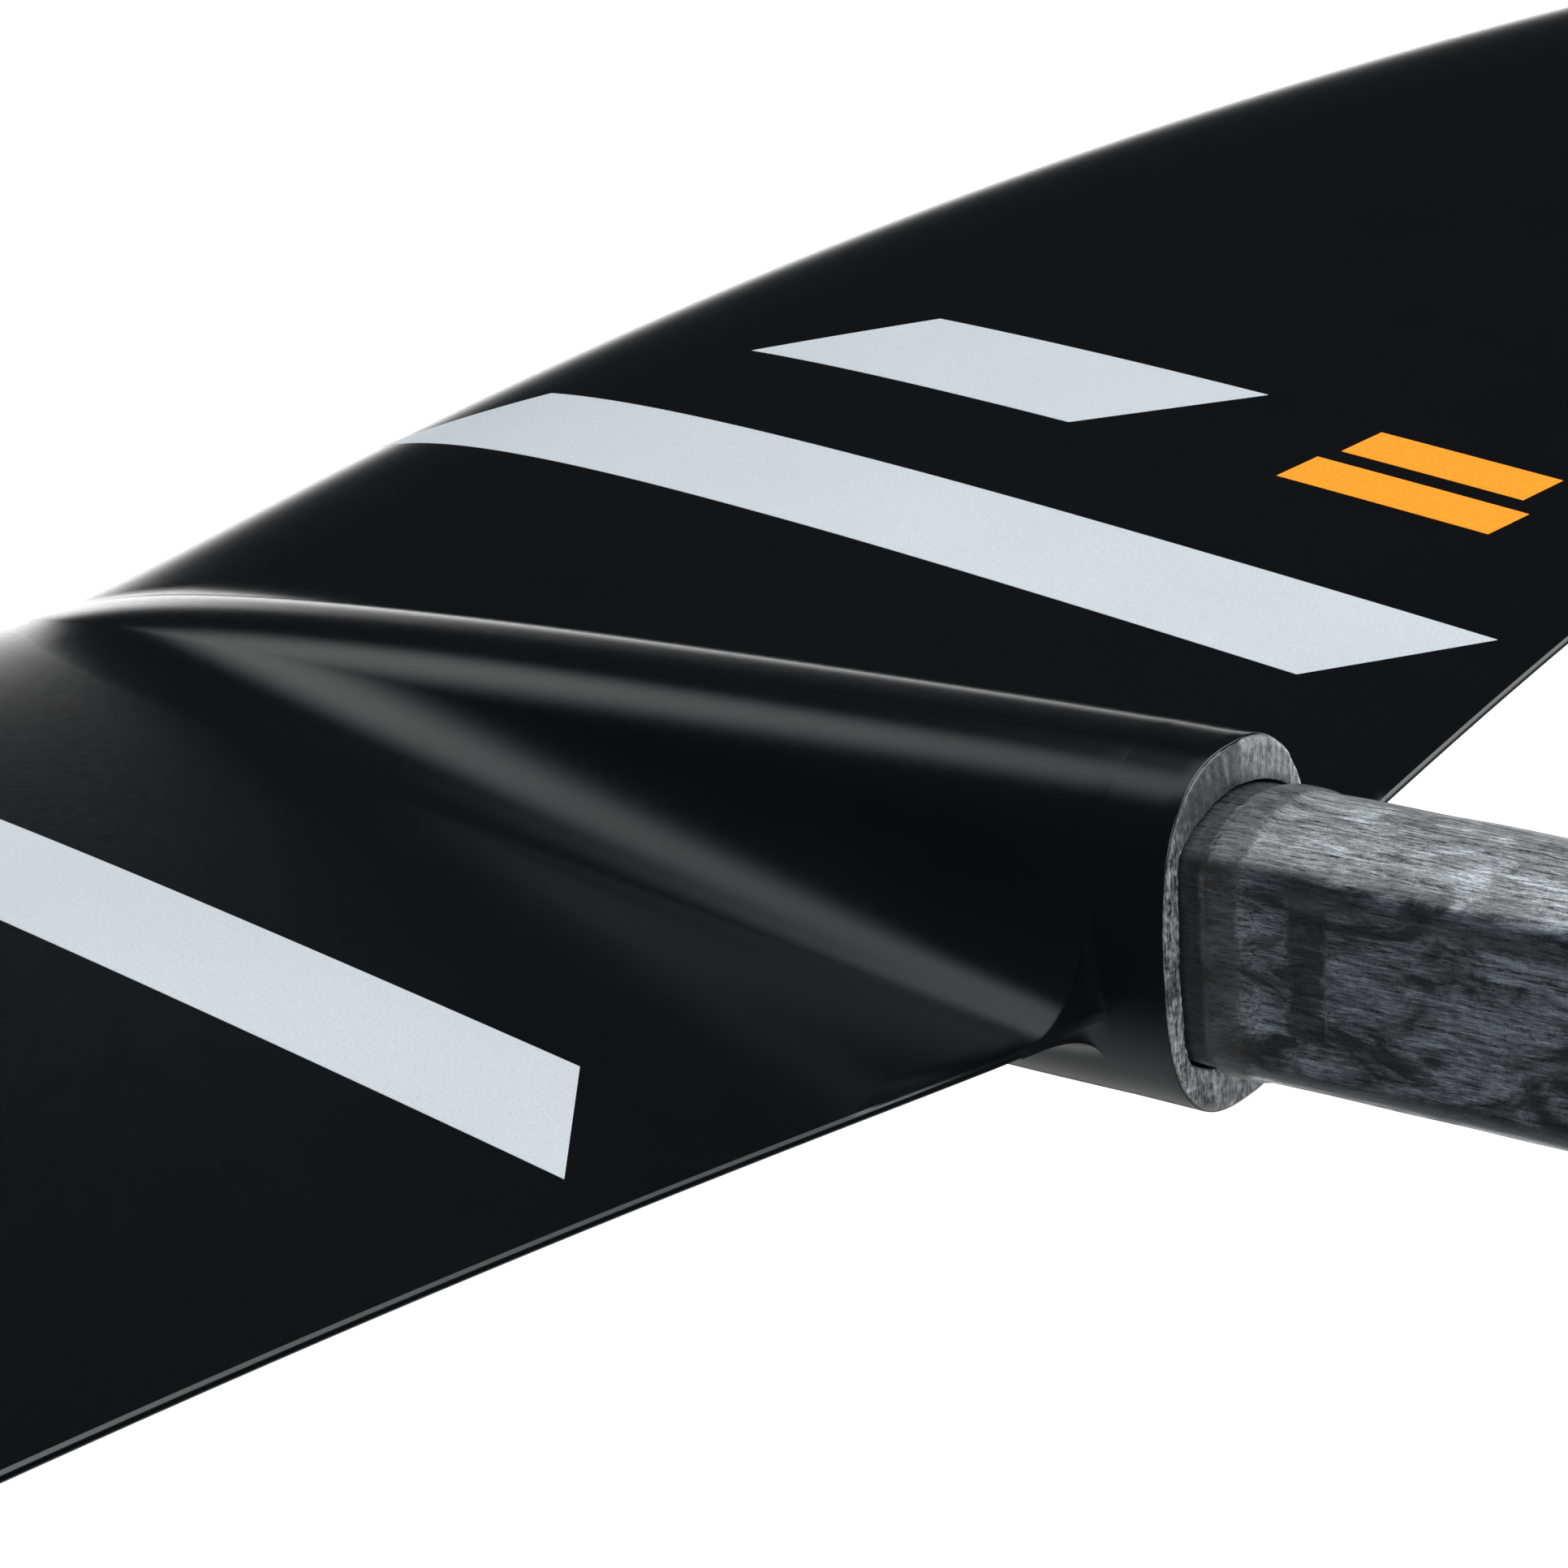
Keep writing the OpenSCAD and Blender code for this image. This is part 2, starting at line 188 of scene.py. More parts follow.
# fillet: its rise and run are a share of the nacelle's proud height, up to a limit in mm
RISE_SHARE, RISE_MOST, RISE_SOFT = 0.62, 16.0, 1.0
KEEL_SHARE, KEEL_MOST = 0.6, 4.0
RUN_LEAST, RUN_SHARE, RUN_MOST, RUN_SOFT = 2, 1.4, 10.0, 2.0


def soft_max(a, b, width):
    """The larger of a and b, rounded over where they meet."""
    return 0.5 * (a + b + np.sqrt((a - b) ** 2 + width * width))


def soft_min(a, b, width):
    return -soft_max(-a, -b, width)


def growth(s):
    """0 at the nacelle's start and 1 at its aft face, with a soft start."""
    g = (s - NACELLE_START) / (1 - NACELLE_START)
    return soft_max(g, 0, START_SOFT)


def nacelle_top(s):
    return mean_z(0, s) + depth(0, s) + (NACELLE_H / 2 + EDGE_DROP - EDGE_T / 2) * growth(s)


def nacelle_bottom(s):
    keel = (NACELLE_H / 2 - EDGE_DROP - EDGE_T / 2) * growth(s) ** KEEL_CURVE
    return mean_z(0, s) - depth(0, s) - keel


def nacelle_half_w(s):
    grown = BLUNT_NOSE + (FULL_TAIL - BLUNT_NOSE) * s
    return NACELLE_W / 2 * np.minimum(soft_min(grown, 1.0, WIDTH_SOFT) + WIDTH_BACK, 1.0)


def signed_power(v, p):
    return np.sign(v) * np.abs(v) ** p


def nacelle_xz(s, angle, inset=0.0):
    """X and Z of the superelliptic section at chord fraction s; angle 0 is port, a right angle up."""
    zt, zb = nacelle_top(s) - inset, nacelle_bottom(s) + inset
    v = signed_power(np.sin(angle), 2 / NACELLE_POWER)
    u = signed_power(np.cos(angle), 2 / NACELLE_POWER)
    narrower = 1 - EGG * np.maximum(v, 0)
    return u * (nacelle_half_w(s) - inset) * narrower, (zt + zb) / 2 + v * (zt - zb) / 2


def nacelle_angle(s, z, inset=0.0):
    """Angle at which the section reaches height z."""
    zt, zb = nacelle_top(s) - inset, nacelle_bottom(s) + inset
    v = np.clip((z - (zt + zb) / 2) / ((zt - zb) / 2), -1, 1)
    return np.arcsin(signed_power(v, NACELLE_POWER / 2))


# ---------------------------------------------------------------- meshes

SHARP_DEG = 35


def face_outward(mesh):
    """Flip a closed mesh that is inside out; its faces already wind the same way."""
    solid = bmesh.new()
    solid.from_mesh(mesh)
    if solid.calc_volume(signed=True) < 0:
        bmesh.ops.reverse_faces(solid, faces=solid.faces)
        solid.to_mesh(mesh)
    solid.free()
    mesh.update()


def new_piece(name, verts_mm, faces, material, slot):
    mesh = bpy.data.meshes.new(name)
    mesh.from_pydata((np.asarray(verts_mm) * MM).tolist(), [], faces)
    mesh.validate()
    face_outward(mesh)
    mesh.materials.append(material)
    mesh.polygons.foreach_set("use_smooth", [True] * len(mesh.polygons))
    mesh.set_sharp_from_angle(angle=math.radians(SHARP_DEG))
    obj = bpy.data.objects.new(name, mesh)
    scene.collection.objects.link(obj)
    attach(obj, BODY)
    return obj


def loft(loops):
    """Quads between closed loops; strips that pair up a loop's two halves close each end."""
    loops = np.asarray(loops)
    m, n = loops.shape[:2]
    faces = []
    for j in range(m - 1):
        for i in range(n):
            a, b = j * n + i, j * n + (i + 1) % n
            faces.append((a, b, b + n, a + n))
    for i in range(n // 2 - 1):
        quad = (i, n - 1 - i, n - 2 - i, i + 1)
        faces.append(quad)
        faces.append(tuple((m - 1) * n + k for k in reversed(quad)))
    return loops.reshape(-1, 3), faces


def bend(p, q, r, t):
    """Quadratic curve from p to r that starts and ends heading for q."""
    return p * (1 - t) ** 2 + q * 2 * t * (1 - t) + r * t**2


ARC_STEPS, FILLET_STEPS, WING_STEPS = 26, 20, 90
FILLET_END = ARC_STEPS + FILLET_STEPS
HALF_COLUMNS = FILLET_END + WING_STEPS
OUTER_ROWS, INNER_ROWS = 90, 92
# chord fractions that the inside of a shell covers
INNER_START, INNER_RUN = 0.02, 0.935
# the trailing edge is bevelled outboard of the fillet; the bevel grows over these columns
EDGE_BEVEL = 0.3
BEVEL_LEAST, BEVEL_MOST = 0.05, 0.8
BEVEL_FROM, BEVEL_COLUMNS = FILLET_END - 4, 8
RIM_SHARE = 0.45
# small turn that measures the flank's slope
SLOPE_TURN = 0.02
LEAST_FALL = 1e-4


def shell_column(c, side, s, inset=0.0):
    """Points of one shell column at chord fractions s; column 0 lies on the centre line."""
    skin_z = wing_z(0, s, side, inset)
    crown = (nacelle_top(s) - inset) if side == TOP else (nacelle_bottom(s) + inset)
    proud = np.abs(crown - skin_z)
    share, most = (RISE_SHARE, RISE_MOST) if side == TOP else (KEEL_SHARE, KEEL_MOST)
    lift = soft_min(proud * share, most, RISE_SOFT)
    start = nacelle_angle(s, skin_z + side * lift, inset)
    if c <= ARC_STEPS:
        angle = side * math.pi / 2 + (start - side * math.pi / 2) * c / ARC_STEPS
        x, z = nacelle_xz(s, angle, inset)
        return np.stack([x, wing_y(0, s) + 0 * x, z], -1)
    # the fillet leaves the flank along its own slope
    x0, z0 = nacelle_xz(s, start, inset)
    x1, z1 = nacelle_xz(s, start - side * SLOPE_TURN, inset)
    outward = (x1 - x0) / np.minimum(side * (z1 - z0), -LEAST_FALL)
    foot = np.clip(x0 + outward * side * (skin_z - z0), x0, x0 + 1 + 2 * lift)
    reach = foot + soft_min(RUN_LEAST + proud * RUN_SHARE, RUN_MOST, RUN_SOFT)
    if c <= FILLET_END:
        t = (c - ARC_STEPS) / FILLET_STEPS
        x = bend(x0, foot, reach, t)
        z = bend(z0, wing_z(foot, s, side, inset), wing_z(reach, s, side, inset), t)
        return np.stack([x, bend(wing_y(0, s), wing_y(foot, s), wing_y(reach, s), t), z], -1)
    t = (c - FILLET_END) / WING_STEPS
    x = reach + (HALF_SPAN * TIP_STOP - reach) * math.sin(t * math.pi / 2)
    return np.stack([x, wing_y(x, s), wing_z(x, s, side, inset)], -1)


def nose_spaced(first, last, count):
    """Chord fractions crowded together near the leading edge."""
    return 1 - np.cos(np.linspace(first, last, count) * math.pi / 2)


def shell_loop(c, way, side):
    """Closed loop of one column: outside from nose to tail, bevelled rim, then back along the inside."""
    rows = nose_spaced(0, 1, OUTER_ROWS)
    rows[-1] = 1 - EDGE_BEVEL / ROOT_CHORD
    bevel = EDGE_BEVEL * min(max((c - BEVEL_FROM) / BEVEL_COLUMNS, BEVEL_LEAST), BEVEL_MOST)
    outside = shell_column(c, side, rows)
    rim = shell_column(c, side, np.ones(2), np.array([bevel, EDGE_T * RIM_SHARE]))
    inside = shell_column(c, side, INNER_START + INNER_RUN * nose_spaced(1, 0, INNER_ROWS), SKIN_T)
    loop = np.concatenate([outside, rim, inside])
    loop[:, 0] *= way
    return loop


def skin(name, side, node, material):
    loops = [shell_loop(c, -1, side) for c in range(HALF_COLUMNS, 0, -1)]
    loops += [shell_loop(c, 1, side) for c in range(HALF_COLUMNS + 1)]
    shell = new_piece(name, *loft(loops), material, "black_paint")
    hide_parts(node)


# ---------------------------------------------------------------- materials

# sockets of the colour mixing node
COLOUR_A, COLOUR_B, COLOUR_RESULT = 6, 7, 2


class Nodes:
    """Short helper for building a node material."""

    def __init__(self, name):
        self.material = bpy.data.materials.new(name)
        self.material.use_nodes = True
        self.tree = self.material.node_tree
        self.bsdf = self.tree.nodes["Principled BSDF"]
        self.coords = self.tree.nodes.new("ShaderNodeTexCoord").outputs["Object"]

    def link(self, source, target):
        self.tree.links.new(source, target)

    def stretched(self, scale, rotation=(0, 0, 0)):
        node = self.tree.nodes.new("ShaderNodeMapping")
        node.inputs["Scale"].default_value = scale
        node.inputs["Rotation"].default_value = rotation
        self.link(self.coords, node.inputs["Vector"])
        return node.outputs["Vector"]

    def noise(self, scale, detail=4.0, roughness=0.5, vector=None, distortion=0.0):
        node = self.tree.nodes.new("ShaderNodeTexNoise")
        node.inputs["Scale"].default_value = scale
        node.inputs["Detail"].default_value = detail
        node.inputs["Roughness"].default_value = roughness
        node.inputs["Distortion"].default_value = distortion
        self.link(vector or self.coords, node.inputs["Vector"])
        return node.outputs["Fac"]

    def ramp(self, source, low, high, low_value=0.0, high_value=1.0):
        """Source carried from low..high to low_value..high_value and held there."""
        node = self.tree.nodes.new("ShaderNodeMapRange")
        node.inputs["From Min"].default_value = low
        node.inputs["From Max"].default_value = high
        node.inputs["To Min"].default_value = low_value
        node.inputs["To Max"].default_value = high_value
        self.link(source, node.inputs["Value"])
        return node.outputs["Result"]

    def math(self, operation, a, b):
        node = self.tree.nodes.new("ShaderNodeMath")
        node.operation = operation
        for value, target in ((a, node.inputs[0]), (b, node.inputs[1])):
            if isinstance(value, (int, float)):
                target.default_value = value
            else:
                self.link(value, target)
        return node.outputs["Value"]

    def times(self, a, b):
        return self.math("MULTIPLY", a, b)

    def plus(self, a, b):
        return self.math("ADD", a, b)

    def absolute(self, value):
        return self.math("ABSOLUTE", value, 0.0)

    def without(self, level, mask, share):
        """Level lowered by the given share where the mask is 1."""
        return self.times(level, self.math("SUBTRACT", 1.0, self.times(mask, share)))

    def split(self, vector):
        node = self.tree.nodes.new("ShaderNodeSeparateXYZ")
        self.link(vector, node.inputs[0])
        return node.outputs[0], node.outputs[1], node.outputs[2]

    def between(self, source, low, high, soft):
        """1 between low and high, with edges of the given half width."""
        rise = self.ramp(source, low - soft, low + soft)
        return self.times(rise, self.ramp(source, high + soft, high - soft))

    def mix(self, factor, a, b):
        """Blend of two colours; the node shares socket names between types, so they go by place."""
        node = self.tree.nodes.new("ShaderNodeMix")
        node.data_type = "RGBA"
        self.link(factor, node.inputs[0])
        for value, place in ((a, COLOUR_A), (b, COLOUR_B)):
            if isinstance(value, tuple):
                node.inputs[place].default_value = (*value, 1)
            else:
                self.link(value, node.inputs[place])
        return node.outputs[COLOUR_RESULT]

    def bump(self, height, strength, distance_mm):
        node = self.tree.nodes.new("ShaderNodeBump")
        node.inputs["Strength"].default_value = strength
        node.inputs["Distance"].default_value = distance_mm * MM
        self.link(height, node.inputs["Height"])
        self.link(node.outputs["Normal"], self.bsdf.inputs["Normal"])

    def set(self, **values):
        """Set inputs of the surface to a colour, a number or another node's output."""
        names = {"color": "Base Color", "roughness": "Roughness", "metallic": "Metallic", "ior": "IOR",
                 "coat": "Coat Weight", "coat_roughness": "Coat Roughness"}
        for key, value in values.items():
            target = self.bsdf.inputs[names[key]]
            if isinstance(value, tuple):
                target.default_value = (*value, 1)
            elif isinstance(value, (int, float)):
                target.default_value = value
            else:
                self.link(value, target)


def black_paint():
    """Glossy bluish black with a faint mottle and a very fine orange peel."""
    m = Nodes("black_paint")
    mottle = m.ramp(m.noise(60, 3), 0.3, 0.7)
    m.set(color=m.mix(mottle, (0.0016, 0.0023, 0.0031), (0.0021, 0.0030, 0.0040)),
          roughness=m.ramp(m.noise(900, 2), 0.3, 0.7, 0.16, 0.20), ior=1.48)
    m.bump(m.noise(420, 2), 0.05, 0.05)
    return m.material


def silver_film():
    """Pale metallic print with fine flakes."""
    m = Nodes("silver_film")
    flakes = m.noise(5200, 2, 0.8)
    tone = m.plus(m.times(flakes, 0.8), m.times(m.noise(18, 2), 0.2))
    m.set(color=m.mix(m.ramp(tone, 0.35, 0.65), (0.52, 0.57, 0.61), (0.72, 0.77, 0.81)),
          roughness=0.42, metallic=0.25)
    m.bump(flakes, 0.12, 0.02)
    return m.material


def orange_film():
    m = Nodes("orange_film")
    grain = m.ramp(m.noise(2400, 2), 0.35, 0.65)
    m.set(color=m.mix(grain, (0.95, 0.26, 0.01), (1.0, 0.33, 0.02)), roughness=0.45)
    m.bump(m.noise(3000, 2), 0.08, 0.02)
    return m.material


def raw_carbon():
    """Sanded laminate: pale dust in lengthwise scratches over dark, glossier low spots; the dust is
    painted paler and thicker on the domed top and bottom, a painted highlight on the top.
    """
    m = Nodes("raw_carbon")
    x, y, z = m.split(m.coords)
    up = m.split(m.tree.nodes.new("ShaderNodeNewGeometry").outputs["Normal"])[2]
    streaks = m.noise(1.0, 4, 0.6, m.stretched((2600, 150, 2600)))
    fine = m.noise(1.0, 4, 0.7, m.stretched((9000, 700, 9000), (0.08, 0, 0.05)))
    cross = m.noise(1.0, 4, 0.7, m.stretched((2500, 5200, 1500), (0.9, 0, 0)))
    blotch = m.noise(170, 6, 0.66, m.stretched((1, 0.45, 1)), 1.2)
    dust = m.plus(m.times(streaks, 0.45), m.times(fine, 0.35))
    dust = m.plus(dust, m.times(cross, 0.2))

    # places in metres, with edges that wander a little
    wander = m.times(m.math("SUBTRACT", blotch, 0.5), 0.006)
    y_worn = m.plus(y, wander)
    z_worn = m.plus(z, wander)
    # faces that look up or down: the domes, painted paler below as a painted highlight on the top, and
    # the place where the side border stops
    dome = m.ramp(m.absolute(up), 0.55, 0.9)
    neck = m.ramp(m.plus(y, m.times(wander, 0.12)), 0.0036, 0.0024)
    root = m.between(y, 0.0030, 0.0073, 0.0004)
    window = m.between(y_worn, 0.0127, 0.0171, 0.0004)
    window = m.times(window, m.between(z_worn, -0.0060, 0.0115, 0.0006))
    border = m.between(m.absolute(z_worn), 0.0088, 0.0112, 0.0008)
    border = m.times(border, m.ramp(y_worn, 0.008, 0.010))

    dark = m.math("MAXIMUM", m.times(window, 0.85), m.without(m.times(border, 0.75), dome, 1.0))
    dark = m.math("MAXIMUM", dark, m.times(neck, 0.98))
    dark = m.math("MAXIMUM", dark, m.times(root, 0.70))
    # real worn blotches, plus a painted highlight that lifts the level on the domes
    worn = m.math("MAXIMUM", m.ramp(blotch, 0.40, 0.57), m.times(dome, 0.55))
    worn = m.without(worn, dark, 1.0)
    scratched = m.times(m.ramp(dust, 0.39, 0.61), m.ramp(fine, 0.30, 0.56, 0.35, 1.0))
    level = m.times(scratched, m.plus(m.times(worn, 0.95), 0.1))

    # sanding dust, painted pale on the domes as a painted highlight and left dark grey on the flat sides
    dust_and_dome_highlight_tint = m.mix(dome, (0.085, 0.100, 0.116), (0.56, 0.60, 0.63))
    resin_tint = m.mix(root, (0.0045, 0.0055, 0.0068), (0.011, 0.0105, 0.0105))
    m.set(color=m.mix(level, resin_tint, dust_and_dome_highlight_tint), roughness=m.ramp(level, 0, 0.7, 0.26, 0.6))
    m.bump(m.plus(dust, m.times(blotch, 0.6)), 0.2, 0.1)
    return m.material


def raw_laminate():
    """Cut edge of the shells: scratched grey plies, a dark resin patch and a paler panel beside it."""
    m = Nodes("raw_laminate")
    x, y, z = m.split(m.coords)
    scratches = m.noise(1.0, 6, 0.68, m.stretched((3600, 3600, 380)))
    pits = m.noise(1500, 5, 0.62)
    gloss = m.noise(260, 5, 0.65)
    grain = m.plus(m.times(scratches, 0.6), m.times(pits, 0.4))

    # places in metres: the step around the tongue, the resin patch and the panel at the top
    step = m.ramp(y, 0.00015, -0.0002)
    resin_pool = m.times(m.between(x, -0.0008, 0.0118, 0.0006), m.ramp(z, 0.0120, 0.0150))
    panel = m.times(m.ramp(x, -0.0006, -0.0012), m.ramp(z, 0.010, 0.013))

    level = m.times(m.ramp(grain, 0.42, 0.60), m.ramp(gloss, 0.38, 0.54, 0.18, 1.0))
    level = m.without(level, step, 0.85)
    level = m.without(level, resin_pool, 0.78)
    level = m.plus(level, m.times(panel, 0.25))
    m.set(color=m.mix(level, (0.014, 0.016, 0.018), (0.25, 0.27, 0.285)),
          roughness=m.ramp(gloss, 0.4, 0.6, 0.14, 0.45), coat=0.6, coat_roughness=0.1)
    m.bump(m.plus(grain, gloss), 0.7, 0.35)
    return m.material


def inner_material(name, dark, light, scale, stretch=(1, 1, 1), roughness=0.6, metallic=0.0):
    """Plain grained material for the parts inside the wing."""
    m = Nodes(name)
    grain = m.noise(scale, 5, 0.6, m.stretched(stretch))
    m.set(color=m.mix(m.ramp(grain, 0.35, 0.65), dark, light), metallic=metallic,
          roughness=m.ramp(grain, 0.3, 0.7, roughness - 0.08, roughness + 0.08))
    m.bump(grain, 0.25, 0.08)
    return m.material


FOAM = ((0.60, 0.50, 0.30), (0.78, 0.68, 0.46))
LAMINATE = ((0.012, 0.012, 0.014), (0.06, 0.06, 0.065))
FILLER = ((0.16, 0.20, 0.14), (0.28, 0.33, 0.25))
RESIN = ((0.03, 0.025, 0.018), (0.07, 0.06, 0.045))
METAL = ((0.62, 0.63, 0.65), (0.78, 0.79, 0.81))
PAINT = black_paint()
SILVER = silver_film()
ORANGE = orange_film()
CARBON = raw_carbon()
LAMINATE_EDGE = raw_laminate()
MATERIAL_OF_SLOT = {
    "foam": inner_material("foam", *FOAM, 1400),
    "laminate": inner_material("laminate", *LAMINATE, 900, stretch=(1, 0.08, 1), roughness=0.45),
    "filler": inner_material("filler", *FILLER, 700),
    "resin": inner_material("resin", *RESIN, 500, roughness=0.25),
    "insert_metal": inner_material("insert_metal", *METAL, 1600, (1, 1, 6), roughness=0.3, metallic=1.0),
    "black_paint": PAINT,
    "silver_film": SILVER,
    "orange_film": ORANGE,
    "raw_carbon": CARBON,
    "raw_laminate": LAMINATE_EDGE,
}
SLOT_OF = {row["node"]: row["material_slot"] for row in frame["record"]["subparts"]}
for node_name, node_object in frame["nodes"].items():
    node_object.data.materials.clear()
    node_object.data.materials.append(MATERIAL_OF_SLOT[SLOT_OF[node_name]])

# ---------------------------------------------------------------- painted shells

skin("upper_shell", TOP, "upper_skin", PAINT)
skin("lower_shell", BOTTOM, "lower_skin", PAINT)

# ---------------------------------------------------------------- nacelle end


def upright(xz, y):
    """Ring of points at distance y from its X, Z outline; y may vary around the ring."""
    return np.stack([xz[:, 0], np.broadcast_to(y, len(xz)), xz[:, 1]], -1)


def ring_faces(rings, steps, close=False):
    """Quads between neighbouring rings; close also joins the last ring to the first."""
    faces = []
    for j in range(rings - (0 if close else 1)):
        k = (j + 1) % rings
        for i in range(steps):
            a, b = j * steps + i, j * steps + (i + 1) % steps
            faces.append((a, b, k * steps + (i + 1) % steps, k * steps + i))
    return faces


# the paint stops just ahead of the collar's face and turns in over a small radius
PAINT_END = -0.1
PAINT_R = 0.3
PAINT_WALL = 1.5
# the wing's root section has shrunk onto the nacelle this far behind the trailing edge
BLEND_L = 1.6
# the piece reaches this far forward inside the shells
TUCKED_IN = 0.5
BLEND_RINGS, BARREL_RINGS, TURN_RINGS = 24, 5, 4
FIRST_TURN = 0.3


def root_section(way):
    """One side of the section at the trailing edge, from the crown down to the keel."""
    edge = np.ones(1)
    upper = [shell_column(c, TOP, edge)[0] for c in range(FILLET_END + 1)]
    lower = [shell_column(c, BOTTOM, edge)[0] for c in range(FILLET_END, -1, -1)]
    tip = upper[-1][0]
    corner = np.array([tip, wing_y(tip, 1.0), wing_z(tip, 1.0, BOTTOM)])
    side = np.array(upper + [corner] + lower)
    side[:, 0] *= way
    return side


def nacelle_end_piece():
    """Painted end of the nacelle: the wing's root section shrinks onto the nacelle as it runs aft."""
    right = root_section(1)
    left = root_section(-1)[::-1]
    section = np.concatenate([right, left[1:-1]])
    side_x, _ = nacelle_xz(1.0, nacelle_angle(1.0, section[:, 2]))
    target = np.sign(section[:, 0]) * np.minimum(side_x, np.abs(section[:, 0]))
    end_y = -NACELLE_RUN + BLEND_L

    def ring(t):
        x = target + (section[:, 0] - target) * (1 - t) ** 2
        return np.stack([x, section[:, 1] + (end_y - section[:, 1]) * t * t, section[:, 2]], -1)

    def straight(y, inset):
        shrink = 1 - inset / (NACELLE_W / 2)
        shrink_z = 1 - inset / (NACELLE_H / 2)
        return np.stack([target * shrink, np.full(len(target), y), section[:, 2] * shrink_z], -1)

    turn_y = PAINT_END - PAINT_R
    rings = [ring(t) for t in np.linspace(0, 1, BLEND_RINGS)]
    rings += [straight(y, 0) for y in np.linspace(end_y, turn_y, BARREL_RINGS)[1:]]
    rings += [straight(turn_y + PAINT_R * math.sin(a), PAINT_R * (1 - math.cos(a)))
              for a in np.linspace(FIRST_TURN, math.pi / 2, TURN_RINGS)]
    rings += [straight(PAINT_END, PAINT_WALL), straight(-NACELLE_RUN - TUCKED_IN, PAINT_WALL)]
    return np.concatenate(rings), ring_faces(len(rings), len(section), close=True)


end_piece = new_piece("nacelle_end", *nacelle_end_piece(), PAINT, "black_paint")
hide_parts("nacelle_sleeve")

# ---------------------------------------------------------------- tongue (mm)

DOME = 4.2
TAPER = 0.05
CORNER_POWER = 18
CAP_R = 0.6
ANGLES = np.linspace(0, 2 * math.pi, 360, endpoint=False)
FAR = 500
# relief from the collar aft: height in mm, then the Y span and how softly it starts and ends
NECK_H, NECK_Y, NECK_SOFT = -0.2, (-FAR, 2.8), 1.4
BAND_H, BAND_Y, BAND_SOFT = 0.35, (3.2, 7.3), 1.0
RECESS_H, RECESS_Y, RECESS_SOFT = -0.5, (8.9, FAR), 1.0
WINDOW_H, WINDOW_Y, WINDOW_SOFT_Y = -0.28, (12.8, 17.1), 0.6
WINDOW_Z, WINDOW_SOFT_Z = (-5.5, 10), 0.8
# Z reach of the flat side and X reach of the dome that carry the relief
SIDE_REACH, DOME_REACH, REACH_SOFT = 9.6, 9, 1.6
OFF_AXIS = 6
ROOT_END = 26


def tongue_radius():
    """Distance from the axis to the tongue's outline: flat sides under a domed top and bottom."""
    u, v = np.abs(np.cos(ANGLES)), np.abs(np.sin(ANGLES))
    half_w, half_h = TONGUE_W / 2, TONGUE_H / 2
    dome_r = (half_w**2 + DOME**2) / (2 * DOME)
    centre = half_h - dome_r
    side = half_w / np.maximum(u, TINY)
    dome = v * centre + np.sqrt(dome_r**2 - (centre * u) ** 2)
    return (side**-CORNER_POWER + dome**-CORNER_POWER) ** (-1 / CORNER_POWER)


def plateau(value, low, high, soft):
    """1 between low and high, falling smoothly to 0 outside over the soft width."""
    rise = 1 / (1 + np.exp(-(value - low) / soft * 4))
    fall = 1 / (1 + np.exp((value - high) / soft * 4))
    return rise * fall


def tongue_ring(y):
    """X, Z points of the tongue at distance y behind the collar, with its worn relief."""
    radius = tongue_radius()
    x, z = radius * np.cos(ANGLES), radius * np.sin(ANGLES)
    on_side = plateau(z, -SIDE_REACH, SIDE_REACH, REACH_SOFT) * (np.abs(x) > OFF_AXIS)
    on_dome = plateau(np.abs(x), -DOME_REACH, DOME_REACH, REACH_SOFT) * (np.abs(z) > DOME_REACH)
    wavy_end = BAND_Y[1] + 0.3 * np.sin(z * 0.35)
    neck = NECK_H * plateau(y, *NECK_Y, NECK_SOFT)
    band = BAND_H * plateau(y, BAND_Y[0], wavy_end, BAND_SOFT)
    recess = RECESS_H * on_side * plateau(y, *RECESS_Y, RECESS_SOFT)
    window = plateau(y, *WINDOW_Y, WINDOW_SOFT_Y) * plateau(z, *WINDOW_Z, WINDOW_SOFT_Z)
    window = WINDOW_H * on_side * window
    waves = 0.06 * np.sin(y * 0.55 + 1.3 * np.sin(ANGLES * 2)) * on_side
    waves = waves + 0.04 * np.sin(y * 0.41 + x * 0.5) * on_dome
    relief = neck + band + recess + window + waves * (y > 1)
    scale = 1 - TAPER * max(y, 0) / TONGUE_L
    worn = (radius + relief) * scale
    return np.stack([worn * np.cos(ANGLES), worn * np.sin(ANGLES)], -1)


def tongue_body():
    """Rings from inside the nacelle to the rounded aft end, closer together along the worn root."""
    stations = np.concatenate([np.linspace(-6, -0.4, 5), np.linspace(0, ROOT_END, 150),
                               np.linspace(ROOT_END + 0.6, TONGUE_L - CAP_R, 110)])
    rings = [upright(tongue_ring(y), y) for y in stations]
    last = rings[-1]
    for a in np.linspace(0.3, math.pi / 2, 5):
        shrink = 1 - CAP_R * (1 - math.cos(a)) / (TONGUE_W / 2)
        ring = last * np.array([shrink, 1, shrink])
        ring[:, 1] = TONGUE_L - CAP_R + CAP_R * math.sin(a)
        rings.append(ring)
    steps = len(ANGLES)
    last_start = (len(rings) - 1) * steps
    caps = [tuple(range(steps - 1, -1, -1)), tuple(last_start + i for i in range(steps))]
    return np.concatenate(rings), ring_faces(len(rings), steps) + caps


SOCKET_GAP = 0.1
SOCKET_STEPS = 64
CLEAR = 2


